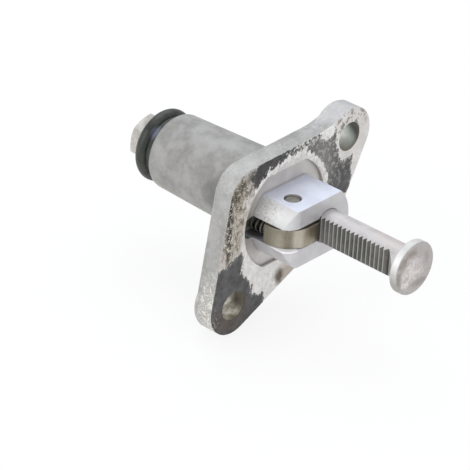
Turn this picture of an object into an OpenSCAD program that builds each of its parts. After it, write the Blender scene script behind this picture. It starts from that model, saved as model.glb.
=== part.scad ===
// Ratchet timing chain tensioner. A cast housing is bolted to the engine by a two-ear flange.
// A spring pushes the plunger out of the housing's nose against the chain guide, and a pawl
// in the nose's slot drops into the plunger's rack, so the plunger can't be pushed back in.
// Millimetres. The origin is midway between the bolt holes, on the flange's mounting face.
// +X is the way the plunger pushes and +Z runs along the pawl pin.

/* [Flange] */
// Distance between the centres of the two bolt holes
bolt_pitch = 47; // [45:0.5:54]
// Slope of the line through the bolt holes, from +Y towards +Z, in degrees
bolt_slope = 39; // [36:0.5:42]
// Diameter of each bolt hole
bolt_hole_d = 7; // [6:0.1:7.6]
// Radius of the rounded ear round each bolt hole
ear_r = 7.1; // [6.6:0.1:8]
// Thickness of the flange
flange_t = 4.9; // [4.7:0.1:7]
// Height of the raised seat for the bolt head behind each ear
seat_h = 0.6; // [0.3:0.1:1.5]
// Radius of the raised seat behind each ear
seat_r = 6.9; // [5.5:0.1:7]
// Sideways place of the centre of the flange's wide corner
wide_corner_y = -14.2; // [-15:0.1:-13]
// Height of the centre of the flange's wide corner
wide_corner_z = 11.9; // [11:0.1:13]
// Radius of the flange's wide corner
wide_corner_r = 6.5; // [5.5:0.1:7.5]
// Sideways place of the centre of the flange's blunt corner
blunt_corner_y = 7.9; // [7:0.1:9]
// Height of the centre of the flange's blunt corner
blunt_corner_z = 0.2; // [-1:0.1:1.5]
// Radius of the flange's blunt corner
blunt_corner_r = 10; // [9.5:0.1:11]
// How far the flange's top edge runs below the crown of the upper ear
ear_dip = 2.4; // [1.5:0.1:3]
// Radius of the hollow blend between the top edge and the upper ear
ear_blend_r = 20; // [12:1:26]

/* [Barrel] */
// Sideways place of the plunger's axis
plunger_y = 0.4; // [-1:0.1:1.5]
// Height of the plunger's axis
plunger_z = 2.9; // [2:0.1:3.5]
// Length from the mounting face to the barrel's rear end
barrel_len = 37.3; // [37:0.1:45]
// Diameter of the cast barrel where it leaves the mounting face
barrel_root_d = 20.6; // [19.5:0.1:22]
// Diameter of the barrel at its rear end, smaller by the casting's draft
barrel_end_d = 18.3; // [17:0.1:19]
// Rounding of the barrel's rear edge
barrel_edge_r = 1.4; // [0.4:0.1:1.8]
// Fillet between the barrel and the flange's back
barrel_fillet_r = 2; // [1:0.1:3]

/* [Nose] */
// Length of the nose in front of the mounting face
nose_len = 10.1; // [9:0.1:13]
// Diameter of the nose's round sides
nose_d = 20.2; // [19.5:0.1:22]
// Distance across the nose's two flats
nose_flats = 14.4; // [13.5:0.1:16]
// How far the nose's centre lies from the plunger's axis, towards the pawl
nose_offset = 2.9; // [2.5:0.1:3.4]
// Rounding of the nose's front corner on the pawl's side
nose_corner_r = 4; // [2:0.1:5]
// Depth of the recess in the mounting face round the nose
recess_depth = 0.75; // [0.4:0.05:1.5]
// Diameter of the recess round the nose
recess_d = 26.1; // [25:0.1:27]
// Distance across the recess's two flats
recess_flats = 22.9; // [20:0.1:24]
// Width of the pawl's slot
slot_w = 5.4; // [4.8:0.1:6]
// Distance from the plunger's axis to the centre of the slot's round end
slot_reach = 13.2; // [12.5:0.1:14]
// Depth of the slot's pocket behind the mounting face
pocket_depth = 3.5; // [2.5:0.1:4]

/* [Plunger] */
// Diameter of the plunger
plunger_d = 8; // [7.4:0.1:8.6]
// Length of the plunger behind the mounting face at rest
tail_len = 12; // [11:0.1:12.5]
// Diameter of the spring's bore in the plunger's tail
tail_bore_d = 5.5; // [5.3:0.1:6]
// Depth of the spring's bore in the plunger's tail
tail_bore_depth = 8; // [5:0.1:8.5]
// Length of plain rod between the rack's front end and the head
neck_len = 1.3; // [1:0.1:5]
// Diameter of the plunger's head
head_d = 12.6; // [11:0.1:15]
// Thickness of the plunger's head
head_t = 2.2; // [1.4:0.1:3]
// Rounding of the head's rim
head_edge_r = 0.45; // [0.2:0.05:0.6]
// Fillet under the head
head_fillet_r = 0.8; // [0.3:0.1:1.2]

/* [Rack] */
// Distance from one rack tooth to the next
rack_pitch = 1.2; // [1.1:0.02:1.3]
// Distance from the plunger's axis to the crests of the rack teeth
rack_crest = 2.75; // [2.5:0.05:2.9]
// Depth of the rack teeth
tooth_depth = 0.55; // [0.45:0.05:0.65]
// Length along the rack of a tooth's steep stop face
tooth_lean = 0.25; // [0.15:0.01:0.3]
// Width of the land on each crest
tooth_land = 0.2; // [0.06:0.01:0.25]
// Number of teeth between the pawl and the rack's front end at rest
teeth_out = 16; // [14:1:20]
// Number of teeth that the rack has behind the pawl at rest
teeth_in = 10; // [10:1:11]
// Length of the slope where the rack runs out at its rear end
rack_runout = 1.5; // [1:0.1:2]
// Length of the slope where the rack runs out at its front end
rack_lead = 2.3; // [1.5:0.1:3]

/* [Pawl] */
// Distance from the nose's front face to the pawl pin
pin_setback = 5.2; // [4.6:0.1:5.6]
// Distance from the plunger's axis to the pawl pin
pin_reach = 6.3; // [6.1:0.1:6.8]
// Diameter of the pawl pin
pin_d = 4; // [3:0.1:4.2]
// How far the pin's ends lie below the nose's flats
pin_sink = 0.5; // [0.2:0.1:1]
// Length of the pawl from its tail face to its front
pawl_len = 7.95; // [7.75:0.05:8.5]
// Thickness of the pawl
pawl_t = 4.6; // [4.2:0.1:4.6]
// How far the pawl stands out of the nose's front face
pawl_proud = 0.25; // [0:0.05:0.5]
// Distance from the plunger's axis to the pawl's outer side
pawl_reach = 12.6; // [12:0.1:13]
// Radius of the pawl's outer front corner
pawl_corner_r = 6.7; // [5:0.1:7]
// Distance from the plunger's axis to the pawl's inner side
pawl_inner = 3.25; // [3.15:0.05:3.6]
// How far the pawl's inner side slopes away from the rack at the tail, for room to swing
pawl_relief = 1; // [0.4:0.1:1.2]
// Room between the pawl's tip and the stop face that it holds
tip_gap = 0.25; // [0.22:0.01:0.35]
// Depth to which the pawl's tip drops into a tooth space
tip_bite = 0.3; // [0.2:0.01:0.34]

/* [Springs] */
// Wire diameter of the plunger spring
spring_wire = 0.8; // [0.6:0.05:0.85]
// Outer diameter of the plunger spring
spring_d = 5; // [4.6:0.1:5.2]
// Turns of the plunger spring
spring_turns = 16; // [12:1:18]
// Wire diameter of the pawl spring
pawl_spring_wire = 0.45; // [0.3:0.05:0.5]
// Outer diameter of the pawl spring
pawl_spring_d = 4.2; // [3.6:0.1:4.6]
// Turns of the pawl spring
pawl_spring_turns = 5; // [4:1:7]
// Distance from the plunger's axis to the pawl spring's axis
pawl_spring_reach = 10; // [9.6:0.1:10.3]

/* [Cap bolt] */
// Diameter of the cap bolt's threaded shank
cap_thread_d = 10; // [9.4:0.1:11]
// Length of the cap bolt's shank inside the barrel
cap_thread_len = 6; // [5.5:0.1:6.5]
// Depth of the spring's seat in the end of the shank
cap_seat_depth = 4; // [3:0.1:5]
// Diameter of the collar that the sealing ring sits on
cap_collar_d = 11.4; // [11.2:0.1:12]
// Diameter of the washer face under the hexagon
cap_washer_d = 12.4; // [12:0.1:14]
// Thickness of the washer face
cap_washer_t = 0.6; // [0.4:0.1:1.5]
// Width across the flats of the hexagon
hex_flats = 10; // [9:0.5:12]
// Height of the hexagon
hex_h = 3.9; // [3:0.1:6]
// Turn of the hexagon round its axis, in degrees
hex_turn = 50; // [0:1:59]
// Thickness of the sealing ring's round bead
ring_section = 3.2; // [2.6:0.1:3.4]
// Length of the sealing ring's neck between the bead and the barrel
ring_neck_len = 1.5; // [0.8:0.1:2]
// Diameter of the sealing ring's neck
ring_neck_d = 15.4; // [14:0.1:16.5]

/* [Clearances] */
// Radial clearance of the plunger in its bore
bore_fit = 0.06; // [0.02:0.01:0.1]
// Radial clearance of the pawl on its pin
pivot_fit = 0.05; // [0.02:0.01:0.1]
// Radial clearance of a pressed or screwed piece
seat_fit = 0.01; // [0.005:0.005:0.03]
// Clearance between the pawl and the slot's lower wall, which it lies on
slot_fit = 0.1; // [0.05:0.05:0.2]
// Clearance at each end of a spring and each side of the sealing ring
rest_fit = 0.05; // [0.02:0.01:0.1]

/* [Hidden] */
$fn = 96;
// Overlap that keeps a cut clear of the face that it opens
cut = 1;

bore_r = plunger_d / 2 + bore_fit;
thread_end_x = -(barrel_len - cap_thread_len);
ear_centre = bolt_pitch / 2 * [cos(bolt_slope), sin(bolt_slope)];
wide_corner = [wide_corner_y, wide_corner_z];
blunt_corner = [blunt_corner_y, blunt_corner_z];
nose_side_y = -(nose_offset + nose_d / 2);

pin_x = nose_len - pin_setback;
pawl_front_x = nose_len + pawl_proud;
pawl_tail_x = pawl_front_x - pawl_len;
// The pawl's tip: its point, and the stop face that it holds
tip_y = -(rack_crest - tip_bite);
tip_x = pawl_front_x - tip_gap - tooth_lean;
stop_x = tip_x + tip_gap + tooth_lean;

// Root of the foremost tooth space, where the rack starts to run out, and the number of tooth spaces in all
rack_front_x = stop_x + teeth_out * rack_pitch;
rack_count = teeth_out + teeth_in;
rack_root = rack_crest - tooth_depth;
rack_rear_x = rack_front_x - rack_count * rack_pitch;
head_back_x = rack_front_x + rack_lead + neck_len;

spring_seat_x = thread_end_x - cap_seat_depth;
ring_width = ring_neck_len + ring_section + 2 * rest_fit;
cap_washer_x = -(barrel_len + ring_width);
hex_x = cap_washer_x - cap_washer_t;
collar_r = cap_collar_d / 2;
ring_mid_r = collar_r + seat_fit + ring_section / 2;

// Moves a piece of the mechanism from the plunger's axis to its place on the flange
module on_plunger_axis() translate([0, plunger_y, plunger_z]) children();

// Draws a Y-Z outline as a prism from one X to another
module prism_x(from_x, to_x) translate([from_x, 0, 0]) rotate([90, 0, 90]) linear_extrude(to_x - from_x) children();

// Draws a round bar or bore along X
module bar_x(from_x, to_x, d) translate([from_x, 0, 0]) rotate([0, 90, 0]) cylinder(d = d, h = to_x - from_x);

// Turns a profile of radius and rearward length about the X axis
module turned_x(front_x) translate([front_x, 0, 0]) rotate([0, -90, 0]) rotate_extrude() children();

// Circle with two flats
module double_d(d, flats) intersection() {
    circle(d = d);
    square([d, flats], center = true);
}

// Direction square to the edge that touches two circles on their right, seen along the edge
function edge_normal(from_c, from_r, to_c, to_r) =
    let (way = to_c - from_c)
    let (turn = atan2(way[1], way[0]) - acos((from_r - to_r) / norm(way)))
    [cos(turn), sin(turn)];

// Hollow blend between a circle and the edge that ends on it
module ear_blend(ear, ear_radius, edge_point, out, blend_r) {
    along = [out[1], -out[0]];
    gap = ear - edge_point;
    rise = gap * out - blend_r;
    run = gap * along - sqrt(pow(ear_radius + blend_r, 2) - rise * rise);
    middle = edge_point + along * run + out * blend_r;
    on_ear = ear + ear_radius * (middle - ear) / norm(middle - ear);
    difference() {
        polygon([middle - out * blend_r, on_ear, ear]);
        translate(middle) circle(blend_r);
    }
}

// Outline of the flange: two ears and two corners, joined by straight edges
module flange_outline() {
    edge_ear_r = ear_r - ear_dip;
    low = edge_normal(-ear_centre, ear_r, blunt_corner, blunt_corner_r);
    right = edge_normal(blunt_corner, blunt_corner_r, ear_centre, ear_r);
    top = edge_normal(ear_centre, edge_ear_r, wide_corner, wide_corner_r);
    left = edge_normal(wide_corner, wide_corner_r, -ear_centre, ear_r);
    polygon([
        -ear_centre + ear_r * low, blunt_corner + blunt_corner_r * low,
        blunt_corner + blunt_corner_r * right, ear_centre + ear_r * right,
        ear_centre + edge_ear_r * top, wide_corner + wide_corner_r * top,
        wide_corner + wide_corner_r * left, -ear_centre + ear_r * left
    ]);
    for (side = [-1, 1]) translate(side * ear_centre) circle(ear_r);
    translate(wide_corner) circle(wide_corner_r);
    translate(blunt_corner) circle(blunt_corner_r);
    ear_blend(ear_centre, ear_r, wide_corner + wide_corner_r * top, top, ear_blend_r);
}

// Flange plate with the raised seats behind its ears
module flange() {
    prism_x(-flange_t, 0) flange_outline();
    for (side = [-1, 1])
        prism_x(-flange_t - seat_h, -flange_t / 2) translate(side * ear_centre) circle(seat_r);
}

// Outside of the cast barrel, with draft, a rounded rear edge and a fillet at the flange
module barrel() {
    root_r = barrel_root_d / 2;
    end_r = barrel_end_d / 2;
    draft = (root_r - end_r) / barrel_len;
    edge_start_r = end_r + draft * barrel_edge_r;
    turned_x(0) {
        polygon([
            [0, 0], [root_r, 0], [edge_start_r, barrel_len - barrel_edge_r],
            [end_r - barrel_edge_r, barrel_len - barrel_edge_r], [end_r - barrel_edge_r, barrel_len], [0, barrel_len]
        ]);
        translate([edge_start_r - barrel_edge_r, barrel_len - barrel_edge_r]) circle(barrel_edge_r);
    }
    fillet_r = root_r - draft * (flange_t + barrel_fillet_r);
    turned_x(-flange_t) difference() {
        translate([fillet_r - cut, -cut]) square([barrel_fillet_r + cut, barrel_fillet_r + cut]);
        translate([fillet_r + barrel_fillet_r, barrel_fillet_r]) circle(barrel_fillet_r);
    }
}

// Nose with two flats and a rounded front corner on the pawl's side
module nose() difference() {
    prism_x(-flange_t / 2, nose_len) translate([-nose_offset, 0]) double_d(nose_d, nose_flats);
    corner_x = nose_len - nose_corner_r;
    translate([0, 0, -nose_flats]) linear_extrude(2 * nose_flats) difference() {
        translate([corner_x, nose_side_y - cut]) square(nose_corner_r + cut);
        translate([corner_x, nose_side_y + nose_corner_r]) circle(nose_corner_r);
    }
}

// Everything that is cut out of the casting round the plunger's axis
module housing_cuts() {
    bar_x(thread_end_x - cut, nose_len + cut, 2 * bore_r);
    bar_x(-barrel_len - cut, thread_end_x, cap_thread_d + 2 * seat_fit);
    prism_x(-recess_depth, cut) translate([-nose_offset, 0]) difference() {
        double_d(recess_d, recess_flats);
        double_d(nose_d, nose_flats);
    }
    prism_x(-pocket_depth, nose_len + cut) {
        translate([-slot_reach, -slot_w / 2]) square([slot_reach, slot_w]);
        translate([-slot_reach, 0]) circle(d = slot_w);
    }
    translate([pin_x, -pin_reach, 0]) cylinder(d = pin_d + 2 * seat_fit, h = nose_flats + 2 * cut, center = true);
}

// Casting with the flange, the barrel and the slotted nose
module housing() color("#b9bab8") difference() {
    union() {
        flange();
        on_plunger_axis() barrel();
        on_plunger_axis() nose();
    }
    for (side = [-1, 1])
        prism_x(-flange_t - seat_h - cut, cut) translate(side * ear_centre) circle(d = bolt_hole_d);
    on_plunger_axis() housing_cuts();
}

// Tooth spaces of the rack, as one cut in plan: each slopes deeper towards the head
module rack_cut() {
    outside = -plunger_d;
    spaces = [
        for (i = [0:rack_count - 1])
        let (stop = rack_front_x - i * rack_pitch)
        for (point = [
            [stop - (i == 0 ? 0 : tooth_lean), -rack_root],
            [stop - rack_pitch + tooth_land, -rack_crest],
            [stop - rack_pitch, -rack_crest]
        ]) point
    ];
    translate([0, 0, -plunger_d]) linear_extrude(2 * plunger_d)
        polygon(concat(
            [[rack_front_x + rack_lead, outside], [rack_front_x + rack_lead, -plunger_d / 2]],
            spaces, [[rack_rear_x - rack_runout, outside]]
        ));
}

// Head of the plunger with a rounded rim and a fillet underneath, measured forwards from its back
module head_profile() {
    rim = head_d / 2;
    square([rim - head_edge_r, head_t]);
    translate([0, head_edge_r]) square([rim, head_t - 2 * head_edge_r]);
    for (h = [head_edge_r, head_t - head_edge_r]) translate([rim - head_edge_r, h]) circle(head_edge_r);
    translate([0, -head_fillet_r]) difference() {
        square([plunger_d / 2 + head_fillet_r, head_fillet_r]);
        translate([plunger_d / 2 + head_fillet_r, 0]) circle(head_fillet_r);
    }
}

// Steel rod with the rack on the pawl's side and a bore for the spring in its tail
module plunger() color("#c9c6c1") on_plunger_axis() difference() {
    union() {
        bar_x(-tail_len, head_back_x, plunger_d);
        translate([head_back_x, 0, 0]) rotate([0, 90, 0]) rotate_extrude() head_profile();
    }
    rack_cut();
    bar_x(-tail_len - cut, -tail_len + tail_bore_depth, tail_bore_d);
}

// Outline of the pawl in plan: round outer front corner, plain tail, one tooth at the inner front
module pawl_outline() {
    corner = [pawl_front_x - pawl_corner_r, -pawl_reach + pawl_corner_r];
    polygon([
        [pawl_tail_x, -pawl_reach], [corner[0], -pawl_reach], corner, [pawl_front_x, corner[1]],
        [pawl_front_x, tip_y - (pawl_front_x - tip_x)], [tip_x, tip_y],
        [tip_x - (pawl_inner + tip_y), -pawl_inner], [pin_x, -pawl_inner],
        [pawl_tail_x, -pawl_inner - pawl_relief]
    ]);
    intersection() {
        translate(corner) circle(pawl_corner_r);
        translate([corner[0], -pawl_reach]) square(pawl_corner_r);
    }
}

// One-way pawl in the nose's slot
module ratchet_pawl() color("#8d8672") on_plunger_axis() difference() {
    translate([0, 0, -slot_w / 2 + slot_fit]) linear_extrude(pawl_t) pawl_outline();
    translate([pin_x, -pin_reach, 0]) cylinder(d = pin_d + 2 * pivot_fit, h = slot_w + 2 * cut, center = true);
}

// Pin that the pawl turns on, pressed into both jaws of the nose
module pawl_pin() color("#77756f") on_plunger_axis()
    translate([pin_x, -pin_reach, 0]) cylinder(d = pin_d, h = nose_flats - 2 * pin_sink, center = true);

// Coil spring along X with closed ends: a round wire swept along a helix
module coil_spring(from_x, to_x, d, wire, turns) {
    sides = 6;
    per_turn = 16;
    rings = turns * per_turn;
    coil_r = (d - wire) / 2;
    free_len = to_x - from_x - wire;
    // The first and the last turn lie flat, and the others share the length between them
    function rise(t) = let (u = min(max(t - 0.9, 0), turns - 1.8) / (turns - 1.8)) u * (free_len - 2 * wire);
    function lead(t) = min(t, 0.9) / 0.9 * wire + max(t - turns + 0.9, 0) / 0.9 * wire;
    points = [
        for (i = [0:rings])
        let (t = i / per_turn)
        let (x = from_x + wire / 2 + rise(t) + lead(t))
        for (j = [0:sides - 1])
        let (a = 360 * j / sides)
        let (r = coil_r + wire / 2 * cos(a))
        [x + wire / 2 * sin(a), r * cos(360 * t), r * sin(360 * t)]
    ];
    walls = [
        for (i = [0:rings - 1], j = [0:sides - 1])
        let (k = (j + 1) % sides)
        [i * sides + j, i * sides + k, (i + 1) * sides + k, (i + 1) * sides + j]
    ];
    first = [for (j = [0:sides - 1]) sides - 1 - j];
    last = [for (j = [0:sides - 1]) rings * sides + j];
    polyhedron(points, concat([first], walls, [last]));
}

// Spring that turns the pawl into the rack, between the slot's pocket and the pawl's tail
module pawl_spring() color("#6f6f70") on_plunger_axis() translate([0, -pawl_spring_reach, 0])
    coil_spring(-pocket_depth + rest_fit, pawl_tail_x - rest_fit, pawl_spring_d, pawl_spring_wire, pawl_spring_turns);

// Spring that pushes the plunger out, between the cap bolt and the bore in the plunger's tail
module plunger_spring() color("#8a8b8d") on_plunger_axis()
    coil_spring(spring_seat_x + rest_fit, -tail_len + tail_bore_depth - rest_fit, spring_d, spring_wire, spring_turns);

// Screw that closes the barrel: shank with the spring's seat, collar, washer face and hexagon
module cap_bolt() color("#b4afa6") on_plunger_axis() {
    hex_corner_d = hex_flats / cos(30);
    chamfer = (hex_corner_d - hex_flats) / 2 * tan(30);
    difference() {
        union() {
            bar_x(-barrel_len, thread_end_x, cap_thread_d);
            bar_x(cap_washer_x, -barrel_len, cap_collar_d);
            bar_x(hex_x, cap_washer_x, cap_washer_d);
        }
        bar_x(spring_seat_x, thread_end_x + cut, tail_bore_d);
    }
    intersection() {
        translate([hex_x - hex_h, 0, 0]) rotate([hex_turn, 0, 0]) rotate([0, 90, 0])
            cylinder(d = hex_corner_d, h = hex_h, $fn = 6);
        turned_x(hex_x) polygon([
            [0, 0], [hex_corner_d, 0], [hex_corner_d, hex_h - chamfer],
            [hex_corner_d / 2, hex_h - chamfer], [hex_flats / 2, hex_h], [0, hex_h]
        ]);
    }
}

// Rubber ring between the barrel's end and the cap bolt's washer face: a neck and a round bead
module sealing_ring() color("#3b3e3a") on_plunger_axis() turned_x(-barrel_len - rest_fit) {
    inner_r = ring_mid_r - ring_section / 2;
    translate([inner_r, 0]) square([ring_neck_d / 2 - inner_r, ring_neck_len + ring_section / 2]);
    translate([ring_mid_r, ring_neck_len + ring_section / 2]) circle(d = ring_section);
}

housing();
plunger();
ratchet_pawl();
pawl_pin();
pawl_spring();
plunger_spring();
cap_bolt();
sealing_ring();
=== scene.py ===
# %% [markdown]
# # A used timing chain tensioner
# The tensioner presses a chain guide against an engine's timing chain. A cast housing is bolted on by
# its flange, a spring pushes a toothed plunger out of the nose, and a pawl keeps it from going back.
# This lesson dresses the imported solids: softened casting edges, torn gasket, springs and metal finishes.

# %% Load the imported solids
import math

import bmesh
import bpy
import numpy as np
from mathutils import Matrix, Vector, kdtree, noise
from mathutils.bvhtree import BVHTree


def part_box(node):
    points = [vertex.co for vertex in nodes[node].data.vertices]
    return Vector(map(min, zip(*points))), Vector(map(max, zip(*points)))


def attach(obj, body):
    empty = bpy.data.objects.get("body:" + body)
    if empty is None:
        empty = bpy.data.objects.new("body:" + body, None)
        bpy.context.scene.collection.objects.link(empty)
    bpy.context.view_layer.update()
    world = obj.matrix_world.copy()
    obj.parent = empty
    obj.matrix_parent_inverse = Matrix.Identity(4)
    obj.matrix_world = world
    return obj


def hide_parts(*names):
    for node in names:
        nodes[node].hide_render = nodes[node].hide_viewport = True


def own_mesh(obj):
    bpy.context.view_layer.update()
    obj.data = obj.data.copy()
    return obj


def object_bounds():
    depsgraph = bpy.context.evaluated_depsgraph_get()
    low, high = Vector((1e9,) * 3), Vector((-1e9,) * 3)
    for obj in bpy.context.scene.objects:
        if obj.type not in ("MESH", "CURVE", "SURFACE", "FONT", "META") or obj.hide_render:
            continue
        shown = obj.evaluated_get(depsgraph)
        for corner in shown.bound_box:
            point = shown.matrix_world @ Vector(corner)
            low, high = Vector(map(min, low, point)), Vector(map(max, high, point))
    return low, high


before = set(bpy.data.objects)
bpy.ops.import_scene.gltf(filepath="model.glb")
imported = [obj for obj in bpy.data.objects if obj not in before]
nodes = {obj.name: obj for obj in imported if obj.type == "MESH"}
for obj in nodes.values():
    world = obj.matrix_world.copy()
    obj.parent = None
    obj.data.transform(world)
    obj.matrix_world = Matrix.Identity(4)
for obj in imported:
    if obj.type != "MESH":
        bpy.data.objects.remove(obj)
cad_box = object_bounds()
MM = 0.001
print("loaded", sorted(nodes), "box in mm", [[round(v / MM, 1) for v in corner] for corner in cad_box])


def show(name, data):
    """Adds an object to the scene, at the origin."""
    thing = bpy.data.objects.new(name, data)
    bpy.context.scene.collection.objects.link(thing)
    return thing


# %% [markdown]
# ## Camera
# A long lens keeps the edges of a small metal part almost parallel. The camera is placed by its
# position and three directions: to the right, up, and backwards out of the picture.

# %% Place the camera
camera_place = Vector((318.4, -377.9, 283.8)) * MM
camera_back = Vector((0.573, -0.6462, 0.5041)).normalized()
camera_up = Vector((-0.3733, 0.3418, 0.8625))
camera_right = camera_up.cross(camera_back).normalized()
camera_up = camera_back.cross(camera_right)
camera_turn = Matrix((camera_right, camera_up, camera_back)).transposed()

lens = bpy.data.cameras.new("long_lens")
lens.lens = 194.7
lens.sensor_width = 36
lens.clip_start = 0.01
camera = show("camera", lens)
camera.matrix_world = Matrix.Translation(camera_place) @ camera_turn.to_4x4()
bpy.context.scene.camera = camera
print("camera is", round(camera_place.length, 3), "m from the mounting face")

# %% [markdown]
# ## Node helpers
# Every finish here is a node tree. A tree reads best when one line makes one node, so `put` adds a
# node and fills its sockets: a socket of another node becomes a link, anything else a plain value.

# %% Helpers that write node trees
FLOAT = "NodeSocketFloat"


def fill(tree, socket, value):
    """Links a socket to another node's output, or gives it a plain value."""
    if isinstance(value, bpy.types.NodeSocket):
        tree.links.new(value, socket)
    else:
        socket.default_value = value


def put(tree, kind, sockets=None, **settings):
    node = tree.nodes.new(kind)
    for name, value in settings.items():
        setattr(node, name, value)
    for key, value in (sockets or {}).items():
        fill(tree, node.inputs[key], value)
    return node


def colour(red, green, blue):
    """A display colour of 0 to 255 as the linear colour that a shader takes."""
    steps = [v / 255 for v in (red, green, blue)]
    return tuple(v / 12.92 if v <= 0.04045 else ((v + 0.055) / 1.055) ** 2.4 for v in steps) + (1.0,)


def sums(tree, way, a, b=0.0):
    return put(tree, "ShaderNodeMath", {0: a, 1: b}, operation=way).outputs[0]


def vectors(tree, way, a, b):
    return put(tree, "ShaderNodeVectorMath", {0: a, 1: b}, operation=way).outputs[0]


def times(tree, *values):
    product = values[0]
    for value in values[1:]:
        product = sums(tree, "MULTIPLY", product, value)
    return product


def length_of(tree, a, b):
    """How far the point (a, b) lies from the origin."""
    return sums(tree, "SQRT", sums(tree, "ADD", times(tree, a, a), times(tree, b, b)))


def ramp(tree, value, low, high, to_low=0.0, to_high=1.0):
    """Spreads the part of a value between low and high over a new span, with soft ends."""
    sockets = {0: value, 1: low, 2: high, 3: to_low, 4: to_high}
    return put(tree, "ShaderNodeMapRange", sockets, interpolation_type="SMOOTHSTEP").outputs[0]


def over(tree, mask, below, above):
    """Lays one colour over another where the mask is 1."""
    return put(tree, "ShaderNodeMix", {0: mask, 6: below, 7: above}, data_type="RGBA").outputs[2]


def place_of(tree):
    return put(tree, "ShaderNodeTexCoord").outputs["Object"]


def place_in_mm(tree):
    """The X, Y and Z of the shaded point in the part's own frame, in mm."""
    scaled = put(tree, "ShaderNodeVectorMath", {0: place_of(tree), "Scale": 1 / MM}, operation="SCALE")
    return put(tree, "ShaderNodeSeparateXYZ", {0: scaled.outputs[0]}).outputs


def noise_at(tree, place, scale, detail, roughness=0.5):
    look = {"Vector": place, "Scale": scale, "Detail": detail, "Roughness": roughness}
    return put(tree, "ShaderNodeTexNoise", look).outputs[0]


def new_group(name, inputs, outputs):
    """Starts a node group whose outputs, and inputs of one number, are plain values."""
    tree = bpy.data.node_groups.new(name, "ShaderNodeTree")
    for label, value in inputs.items():
        kind = FLOAT if isinstance(value, float) else "NodeSocketVector"
        tree.interface.new_socket(label, in_out="INPUT", socket_type=kind).default_value = value
    for label in outputs:
        tree.interface.new_socket(label, in_out="OUTPUT", socket_type=FLOAT)
    return tree, tree.nodes.new("NodeGroupInput").outputs, tree.nodes.new("NodeGroupOutput").inputs


def use(tree, group, **sockets):
    """Places a node group; underscores in the names stand for spaces."""
    values = {name.replace("_", " "): value for name, value in sockets.items()}
    return put(tree, "ShaderNodeGroup", values, node_tree=group).outputs


print("helpers ready")

# %% [markdown]
# ## Floor and light
# The part lies on a white sheet in even, soft light. The camera, and every polished surface, sees the
# floor as plain white, and a share of real shading is left in it so that it still takes a shadow.

# %% Make the floor
floor_drop = 0.2 * MM
floor_half = 1.5
floor_shade = 0.16

floor_z = cad_box[0].z - floor_drop
floor_ways = [(-1, -1), (1, -1), (1, 1), (-1, 1)]
floor_corners = [(x * floor_half, y * floor_half, floor_z) for x, y in floor_ways]
floor_mesh = bpy.data.meshes.new("floor")
floor_mesh.from_pydata(floor_corners, [], [(0, 1, 2, 3)])
floor = show("floor", floor_mesh)

white_sheet = bpy.data.materials.new("white_sheet")
white_sheet.use_nodes = True
tree = white_sheet.node_tree
tree.nodes.clear()
rays = put(tree, "ShaderNodeLightPath").outputs
mirrored = sums(tree, "MAXIMUM", rays["Is Glossy Ray"], rays["Is Transmission Ray"])
seen = sums(tree, "MAXIMUM", rays["Is Camera Ray"], mirrored)
paper = put(tree, "ShaderNodeBsdfDiffuse", {"Color": (0.9, 0.9, 0.92, 1)})
glow = put(tree, "ShaderNodeEmission", {"Color": (1, 1, 1, 1), "Strength": 1.0})
mixed = {0: times(tree, seen, 1 - floor_shade), 1: paper.outputs[0], 2: glow.outputs[0]}
sheet = put(tree, "ShaderNodeMixShader", mixed)
put(tree, "ShaderNodeOutputMaterial", {"Surface": sheet.outputs[0]})
floor_mesh.materials.append(white_sheet)
print("floor lies at", round(floor_z / MM, 2), "mm")

# %% Light the scene
world = bpy.data.worlds.new("soft_room")
world.use_nodes = True
sky = world.node_tree.nodes["Background"]
sky.inputs["Color"].default_value = (0.97, 0.98, 1.0, 1)
sky.inputs["Strength"].default_value = 0.8
bpy.context.scene.world = world
bpy.context.scene.view_settings.view_transform = "Standard"


def soft_box(name, place, size, power, tint):
    """A square lamp that faces the part."""
    lamp = bpy.data.lights.new(name, "AREA")
    lamp.size = size
    lamp.energy = power
    lamp.color = tint
    lamp_object = show(name, lamp)
    lamp_object.location = place
    lamp_object.rotation_euler = (-Vector(place)).to_track_quat("-Z", "Y").to_euler()
    print("lit by", name)


soft_box("top_box", (-0.2, 0.25, 0.7), 0.7, 2.3, (0.9, 0.95, 1.0))
soft_box("left_box", (-0.15, -0.75, 0.4), 0.5, 2.0, (1.0, 0.99, 0.97))

# %% [markdown]
# ## Shared surface effects
# Old metal is never one colour. Five effects come back in most finishes, so each is built once as a
# shader node group: patchy grain, speckles, rubbed edges, grime and painted shade in hollows, and a stain
# at one spot.

# %% Patchy grain
grain, made, result = new_group(
    "patchy_grain", {"Patch scale": 200.0, "Fleck scale": 1500.0, "Pit scale": 2500.0},
    ["Patches", "Flecks", "Height"])
place = place_of(grain)
broad = noise_at(grain, place, made["Patch scale"], 5.0, 0.62)
fine = noise_at(grain, place, made["Fleck scale"], 3.0, 0.6)
pits = put(grain, "ShaderNodeTexVoronoi", {"Vector": place, "Scale": made["Pit scale"]}).outputs[0]
lumps = sums(grain, "ADD", times(grain, fine, 0.7), times(grain, ramp(grain, pits, 0.0, 0.5), 0.3))
fill(grain, result["Patches"], ramp(grain, broad, 0.35, 0.65))
fill(grain, result["Flecks"], ramp(grain, fine, 0.58, 0.72))
fill(grain, result["Height"], lumps)
print("group", grain.name)

# %% Speckles
speckle, made, result = new_group("speckles", {"Scale": 2000.0, "Level": 0.56, "Shift": 0.0}, ["Mask"])
moved = vectors(speckle, "ADD", place_of(speckle), made["Shift"])
dots = noise_at(speckle, moved, made["Scale"], 2.0, 0.7)
level_top = sums(speckle, "ADD", made["Level"], 0.05)
fill(speckle, result["Mask"], ramp(speckle, dots, made["Level"], level_top))
print("group", speckle.name)

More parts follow.
